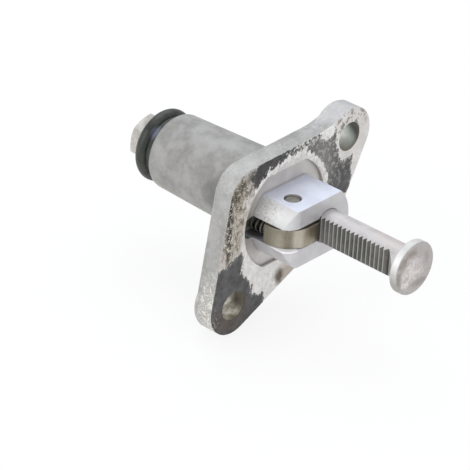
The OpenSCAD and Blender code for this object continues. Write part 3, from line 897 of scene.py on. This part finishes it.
# %% Build the tree that scatters grit
def tree_with_inputs(name, inputs):
    tree = bpy.data.node_groups.new(name, "GeometryNodeTree")
    tree.interface.new_socket("Geometry", in_out="INPUT", socket_type="NodeSocketGeometry")
    tree.interface.new_socket("Geometry", in_out="OUTPUT", socket_type="NodeSocketGeometry")
    for label, kind in inputs:
        tree.interface.new_socket(label, in_out="INPUT", socket_type=kind)
    return tree, tree.nodes.new("NodeGroupInput").outputs, tree.nodes.new("NodeGroupOutput").inputs


def end_tree(tree, geometry, finish, result):
    """Realises what a tree has made and gives it its finish."""
    solid = put(tree, "GeometryNodeRealizeInstances", {0: geometry})
    painted = put(tree, "GeometryNodeSetMaterial", {"Geometry": solid.outputs[0], "Material": finish})
    fill(tree, result["Geometry"], painted.outputs[0])
    print("tree", tree.name)


def grown(name, tree, start_mesh, settings):
    """Runs a Geometry Nodes tree on a mesh and keeps the result as a plain piece."""
    piece = show(name, start_mesh)
    grower = piece.modifiers.new("grower", "NODES")
    grower.node_group = tree
    for item in tree.interface.items_tree:
        if item.in_out == "INPUT" and item.name in settings:
            grower[item.identifier] = settings[item.name]
    settle(piece)
    print(name, len(piece.data.polygons), "faces")
    return piece


least_shape = (0.6, 0.6, 0.8)
most_shape = (1.5, 1.5, 1.2)

grit, made, result = tree_with_inputs(
    "scattered_grit",
    [("Density", FLOAT), ("Smallest", FLOAT), ("Largest", FLOAT), ("Flatness", FLOAT),
     ("Seed", "NodeSocketInt"), ("Finish", "NodeSocketMaterial")])
spread = put(grit, "GeometryNodeDistributePointsOnFaces",
             {"Mesh": made["Geometry"], "Density": made["Density"], "Seed": made["Seed"]})
lump = put(grit, "GeometryNodeMeshIcoSphere", {"Radius": 1.0, "Subdivisions": 1})
flat = put(grit, "ShaderNodeCombineXYZ", {0: 1.0, 1: 1.0, 2: made["Flatness"]})
any_size = put(grit, "FunctionNodeRandomValue",
               {2: made["Smallest"], 3: made["Largest"], "Seed": made["Seed"]}, data_type="FLOAT")
long_side = put(grit, "FunctionNodeRandomValue",
                {0: least_shape, 1: most_shape, "Seed": made["Seed"]}, data_type="FLOAT_VECTOR")
shape = vectors(grit, "MULTIPLY", flat.outputs[0], long_side.outputs[0])
sized = put(grit, "ShaderNodeVectorMath", {0: shape, "Scale": any_size.outputs[1]}, operation="SCALE")
laid = put(grit, "GeometryNodeInstanceOnPoints",
           {"Points": spread.outputs["Points"], "Instance": lump.outputs[0],
            "Rotation": spread.outputs["Rotation"], "Scale": sized.outputs[0]})
end_tree(grit, laid.outputs[0], made["Finish"], result)

# %% Finishes of the grit
grit_scales = (900, 2500, 4000)
baked_oil = Finish("baked_oil", metallic=0.0, scales=grit_scales, low=(48, 40, 32), high=(92, 78, 60))
baked_oil.done(roughness=0.6, depth=0.05, strength=0.6)
white_rust = Finish("white_rust", metallic=0.0, scales=grit_scales, low=(206, 200, 184), high=(238, 234, 224))
white_rust.done(roughness=0.85, depth=0.05, strength=0.6)

# %% Scatter the grit
grit_tear = 1.2
grit_margin = 0.1


def zone_mesh(name, zone, seed):
    """A zone's torn outline as bare faces on the mounting face, to scatter over."""
    height = np.minimum(torn_height(zone, grit_tear, grit_tear, seed), face_room - grit_margin)
    keys = sorted((int(i), int(j)) for i, j in zip(*np.nonzero(height > 0)))
    number = {key: i for i, key in enumerate(keys)}
    quads = []
    for i, j in keys:
        ring = [(i, j), (i + 1, j), (i + 1, j + 1), (i, j + 1)]
        if all(key in number for key in ring):
            quads.append([number[key] for key in ring])
    mesh = bpy.data.meshes.new(name)
    mesh.from_pydata([(0, face_ys[i] * MM, face_zs[j] * MM) for i, j in keys], [], quads)
    return mesh


left_strip = [(-22.5, -2.6), (-22, 4), (-21, 11), (-18.6, 15.6), (-15.2, 17), (-14.2, 14), (-15.6, 9.6),
              (-17, 5), (-18.4, -0.6), (-19.4, -2.6)]
per_square_m = 1e6
dark_grit = grown("baked_grit", grit, zone_mesh("dark_zone", left_strip, 41.0),
                  {"Density": 1.5 * per_square_m, "Smallest": 0.04 * MM, "Largest": 0.17 * MM,
                   "Flatness": 0.35, "Seed": 4, "Finish": baked_oil.material})
pale_grit = grown("pale_grit", grit, zone_mesh("pale_zone", left_strip, 47.0),
                  {"Density": 2.0 * per_square_m, "Smallest": 0.05 * MM, "Largest": 0.2 * MM,
                   "Flatness": 0.35, "Seed": 9, "Finish": white_rust.material})
for grit_piece in (dark_grit, pale_grit):
    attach(grit_piece, "body")

# %% [markdown]
# ## Springs
# A coil follows a rule, so it is grown rather than drawn: a spiral gives the turns, each point is lifted
# along the axis, and a round wire is swept along it. The first and the last turn lie flat, as on a real
# compression spring, which needs three ramps: into the first turn, along the middle, and into the last.

# %% Build the tree that winds a spring
flat_turn = 0.9
points_per_turn = 40
wire_sides = 12
along_x = (math.radians(90), 0, math.radians(90))

coil, made, result = tree_with_inputs(
    "wound_spring",
    [("Turns", FLOAT), ("Radius", FLOAT), ("Wire", FLOAT), ("Length", FLOAT),
     ("Start", "NodeSocketVector"), ("Finish", "NodeSocketMaterial")])
rounds = put(coil, "GeometryNodeCurveSpiral",
             {"Resolution": points_per_turn, "Rotations": made["Turns"], "Start Radius": made["Radius"],
              "End Radius": made["Radius"], "Height": 0.0})
share = put(coil, "GeometryNodeSplineParameter").outputs["Factor"]
turned = times(coil, share, made["Turns"])
last_turn = sums(coil, "SUBTRACT", made["Turns"], flat_turn)
middle_len = sums(coil, "SUBTRACT", made["Length"], times(coil, made["Wire"], 3.0))


def lifted(first, last, lift):
    """How far a point has risen between two numbers of turns."""
    return put(coil, "ShaderNodeMapRange", {0: turned, 1: first, 2: last, 3: 0.0, 4: lift}).outputs[0]


rise = lifted(flat_turn, last_turn, middle_len)
lead_in = lifted(0.0, flat_turn, made["Wire"])
lead_out = lifted(last_turn, made["Turns"], made["Wire"])
leads = sums(coil, "ADD", lead_in, lead_out)
half_wire = times(coil, made["Wire"], 0.5)
height = sums(coil, "ADD", rise, sums(coil, "ADD", leads, half_wire))
lift = put(coil, "ShaderNodeCombineXYZ", {2: height})
wound = put(coil, "GeometryNodeSetPosition", {"Geometry": rounds.outputs[0], "Offset": lift.outputs[0]})
wire = put(coil, "GeometryNodeCurvePrimitiveCircle", {"Resolution": wire_sides, "Radius": half_wire})
swept = put(coil, "GeometryNodeCurveToMesh",
            {"Curve": wound.outputs[0], "Profile Curve": wire.outputs[0], "Fill Caps": True})
placed = put(coil, "GeometryNodeTransform",
             {"Geometry": swept.outputs[0], "Translation": made["Start"], "Rotation": along_x})
end_tree(coil, placed.outputs[0], made["Finish"], result)

# %% Wind both springs
spring_steel = Finish("spring_steel", metallic=0.4, scales=(500, 2200, 4000), low=(90, 88, 82),
                      high=(118, 115, 108))
# Grime and painted shade where the coils lie close together.
spring_steel.coat((48, 45, 41), spring_steel.dirt_and_shade(0.8), 0.4)
spring_steel.done(roughness=0.6, depth=0.02, strength=0.5)


def wind(name, node_name, turns, wire_d):
    """Winds a spring into the box of the solid that it replaces."""
    low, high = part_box(node_name)
    outer_r = (high.z - low.z) / 2
    start = Vector((low.x, (low.y + high.y) / 2, (low.z + high.z) / 2))
    piece = grown(name, coil, bpy.data.meshes.new(name),
                  {"Turns": float(turns), "Radius": outer_r - wire_d / 2, "Wire": wire_d,
                   "Length": high.x - low.x, "Start": start, "Finish": spring_steel.material})
    piece.data.shade_smooth()
    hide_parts(node_name)
    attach(piece, "body")
    return piece, start


push_coil, push_start = wind("push_coil", "plunger_spring", 16, 0.8 * MM)
pawl_coil, pawl_start = wind("pawl_coil", "pawl_spring", 5, 0.45 * MM)
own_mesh(push_coil)
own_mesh(pawl_coil)

# %% [markdown]
# ## Plunger
# The rod is ground steel with fine marks along it. Oil has blackened the rack's tooth spaces and left only
# the crests bright, so the finish measures how deep a point lies below the crests. The head's face is worn
# by the chain guide: a pale, uneven patch with a brown shadow round it. A painted highlight runs along the
# head's rim, and painted shade darkens the face's left chamfer.

# %% Finish of the plunger's rod and rack
rack_crest = 2.75
rack_end = 31.85

ground_steel = Finish("ground_steel", metallic=0.55, scales=(240, 2600, 4000), low=(190, 187, 188),
                      high=(207, 204, 205))
tree = ground_steel.tree
where = place_in_mm(tree)
across = sums(tree, "SUBTRACT", where["Y"], plunger_axis[0])
upward = sums(tree, "SUBTRACT", where["Z"], plunger_axis[1])
radius = length_of(tree, across, upward)
drawn = put(tree, "ShaderNodeCombineXYZ", {0: times(tree, where["X"], 0.05), 1: where["Y"], 2: where["Z"]})
marks = noise_at(tree, drawn.outputs[0], 4.0, 4.0)
ground_steel.coat((180, 172, 166), ramp(tree, marks, 0.5, 0.68), 0.5)
at_rack = times(tree, ramp(tree, radius, 3.98, 3.93), ramp(tree, across, -1.7, -1.9),
                ramp(tree, where["X"], rack_end + 0.1, rack_end))
depth = sums(tree, "ADD", across, rack_crest)
oiled = ground_steel.mottled((92, 92, 88), (122, 121, 117))
crest = over(tree, ground_steel.flecks, colour(164, 163, 159), colour(128, 126, 120))
rack_base = over(tree, ramp(tree, depth, 0.02, 0.09), crest, oiled)
rack_base = over(tree, ramp(tree, depth, 0.3, 0.55), rack_base, colour(66, 65, 61))
ground_steel.coat(rack_base, at_rack)
rod_warmth = ground_steel.stain_at((28.5, 1.4, 6.6), (5, 3, 2.5), 0.3, 0.6, 300)
ground_steel.coat((206, 191, 182), rod_warmth, 0.35)
print("rod and rack are painted")

# %% Finish of the plunger's head
head_front = 35.35

at_face = ramp(tree, where["X"], head_front - 0.5, head_front - 0.02)
at_rim = times(tree, ramp(tree, radius, 5.2, 5.8), ramp(tree, at_face, 1.0, 0.0))
# Painted highlight along the head's rounded rim.
ground_steel.coat((216, 217, 213), at_rim, 0.5)
rim_glint = ground_steel.stain_at((34.2, -5, 6.8), (3, 2, 2.4), 0.3, 0.6, 400)
ground_steel.coat((250, 251, 250), at_rim, rim_glint, 0.6)
# The rim is darker and more olive low down.
rim_darker_low = ground_steel.stain_at((34.2, -5.2, -0.6), (3, 2.4, 3.2), 0.4, 0.5, 500)
ground_steel.coat((146, 147, 134), at_rim, rim_darker_low, 0.6)
ground_steel.coat((190, 184, 180), at_face, 0.8)
# Columns: middle, reach, strength, colour. The fifth row is painted shade on the face's left chamfer.
head_marks = [
    ((-0.5, 2.9), (3.2, 2.6), 0.85, (234, 228, 225)), ((1.4, 3.4), (1.5, 0.9), 0.5, (188, 180, 176)),
    ((-1.3, 7.2), (2, 0.9), 0.65, (150, 135, 123)), ((-3.9, 5.6), (1.1, 1.5), 0.65, (150, 135, 123)),
    ((-5.2, 2), (0.7, 2.6), 0.6, (128, 126, 114)), ((3.9, 4.6), (0.9, 2), 0.45, (150, 145, 141)),
    ((1.8, -1), (2.4, 0.8), 0.45, (120, 115, 110)), ((-2.7, -0.2), (1, 0.9), 0.7, (246, 242, 238))]
for spot, reach, strength, shade in head_marks:
    mark = ground_steel.stain_at((head_front, *spot), (through_face, *reach), 0.9, 0.5, 800)
    ground_steel.coat(shade, at_face, mark, strength)
ground_steel.coat((166, 157, 150), at_face, ground_steel.spots(1300, 0.54, 0.3), 0.35)
polish = ramp(tree, ground_steel.patches, 0, 1, 0.5, 0.62)
dull_rack = times(tree, at_rack, 0.58)
ground_steel.done(roughness=sums(tree, "MAXIMUM", polish, dull_rack), depth=0.025, strength=0.6)


def paint(node_name, finish):
    mesh = nodes[node_name].data
    mesh.materials.clear()
    mesh.materials.append(finish.material)


paint("plunger", ground_steel)

# %% [markdown]
# ## Pawl and pin
# The pawl is a hardened block with a brown oil film. Its grinding marks run up and down; a painted highlight
# and a painted shade band follow its rounded corner, and painted shade makes it darkest where it meets the
# rack and darker towards its tail. The pin's end is a dull grey disc with a chamfer, a little below the
# nose's flat, and painted shade darkens the chamfer's ring.

# %% Finish and edges of the pawl
pawl_bevel = 0.15

pawl_steel = Finish("pawl_steel", metallic=0.65, scales=(220, 2200, 4000), low=(148, 143, 126),
                    high=(178, 171, 154))
tree = pawl_steel.tree
where = place_in_mm(tree)
ground = put(tree, "ShaderNodeCombineXYZ", {0: where["X"], 1: where["Y"], 2: times(tree, where["Z"], 0.06)})
streaks = noise_at(tree, ground.outputs[0], 3.2, 4.0)
pawl_steel.coat((118, 110, 94), ramp(tree, streaks, 0.45, 0.65), 0.3)
# A painted highlight band and a painted shade band across the pawl's rounded corner.
highlight_band = pawl_steel.stain_at((9.4, -8.6, 3), (3, 1.2, 9), 0.2, 0.5, 300)
pawl_steel.coat((204, 195, 180), highlight_band, 0.6)
shade_band = pawl_steel.stain_at((8.1, -10.4, 3), (3, 0.8, 9), 0.2, 0.5, 300)
pawl_steel.coat((104, 96, 82), shade_band, 0.55)
oil_film = pawl_steel.stain_at((10.35, -5.4, 3.4), (3, 1.8, 2.2), 0.5, 0.5, 600)
pawl_steel.coat((124, 108, 84), oil_film, 0.5)
pawl_steel.coat((206, 196, 178), pawl_steel.flecks, 0.35)
# Painted shade: darkest where the pawl meets the rack.
pawl_steel.coat((72, 66, 56), ramp(tree, where["Y"], -5.2, -2.6), 0.75)
# Painted shade: darker towards the tail, which lies back in the slot under the upper jaw.
pawl_steel.coat((132, 128, 112), ramp(tree, where["X"], 7.4, 5.6), 0.55)
pawl_steel.coat((226, 218, 200), pawl_steel.wear(0.2), 0.7)
pawl_steel.done(roughness=0.4, depth=0.02, strength=0.5)
softened("ground_pawl", "ratchet_pawl", "pawl", lambda middle: pawl_bevel, pawl_bevel,
         [pawl_steel])

# %% Finish and edges of the pin
pin_bevel = 0.22

pin_steel = Finish("pin_steel", metallic=0.6, scales=(400, 2200, 4000), low=(128, 126, 118),
                   high=(154, 151, 143))
tree = pin_steel.tree
pin_steel.coat((104, 101, 93), pin_steel.flecks, 0.5)
where = place_in_mm(tree)
pin_x = sums(tree, "SUBTRACT", where["X"], pin_middle.x / MM)
pin_y = sums(tree, "SUBTRACT", where["Y"], pin_middle.y / MM)
# Painted shade: the chamfer's ring round the pin's end is nearly black.
pin_steel.coat((36, 35, 32), ramp(tree, length_of(tree, pin_x, pin_y), 1.58, 1.74), 0.95)
pin_steel.done(roughness=0.5, depth=0.02, strength=0.5)
softened("pivot_pin", "pawl_pin", "body", lambda middle: pin_bevel, pin_bevel, [pin_steel])

# %% [markdown]
# ## Rear end
# A plated screw closes the barrel, and a black rubber ring under its head keeps the oil in. The screw is
# dull, with a breath of rust on the hexagon, and dust makes the ring greyish on its crown.

# %% Finish and edges of the cap bolt
bolt_bevel = 0.15
chamfer_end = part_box("cap_bolt")[0].x / MM + 0.6

bolt_zinc = Finish("bolt_zinc", metallic=0.45, scales=(300, 900, 4000), low=(176, 172, 166),
                   high=(202, 199, 194))
bolt_zinc.coat((172, 136, 110), bolt_zinc.flecks, 0.4)
bolt_zinc.coat((224, 222, 218), bolt_zinc.wear(0.3), 0.5)
bolt_zinc.done(roughness=0.5, depth=0.04, strength=0.6)


def bolt_edge(middle):
    return 0 if middle[0] < chamfer_end else bolt_bevel


softened("closing_bolt", "cap_bolt", "body", bolt_edge, bolt_bevel, [bolt_zinc])

# %% Finish of the sealing ring
seal_rubber = Finish("seal_rubber", metallic=0.0, scales=(300, 1800, 4000), low=(32, 35, 32),
                     high=(56, 59, 54))
# Painted shade: the crevice between the ring and the barrel is darkened almost to black.
seal_rubber.coat((14, 16, 17), seal_rubber.dirt_and_shade(1.5), 0.85)
seal_rubber.coat((112, 114, 107), seal_rubber.flecks, 0.25)
glint = seal_rubber.stain_at((-38.5, -4.6, 8.7), (0.7, 1.5, 1.4), 0.3, 0.5, 500)
seal_rubber.coat((132, 139, 162), glint, 0.5)
seal_rubber.done(roughness=0.4, depth=0.04, strength=0.6)
paint("sealing_ring", seal_rubber)
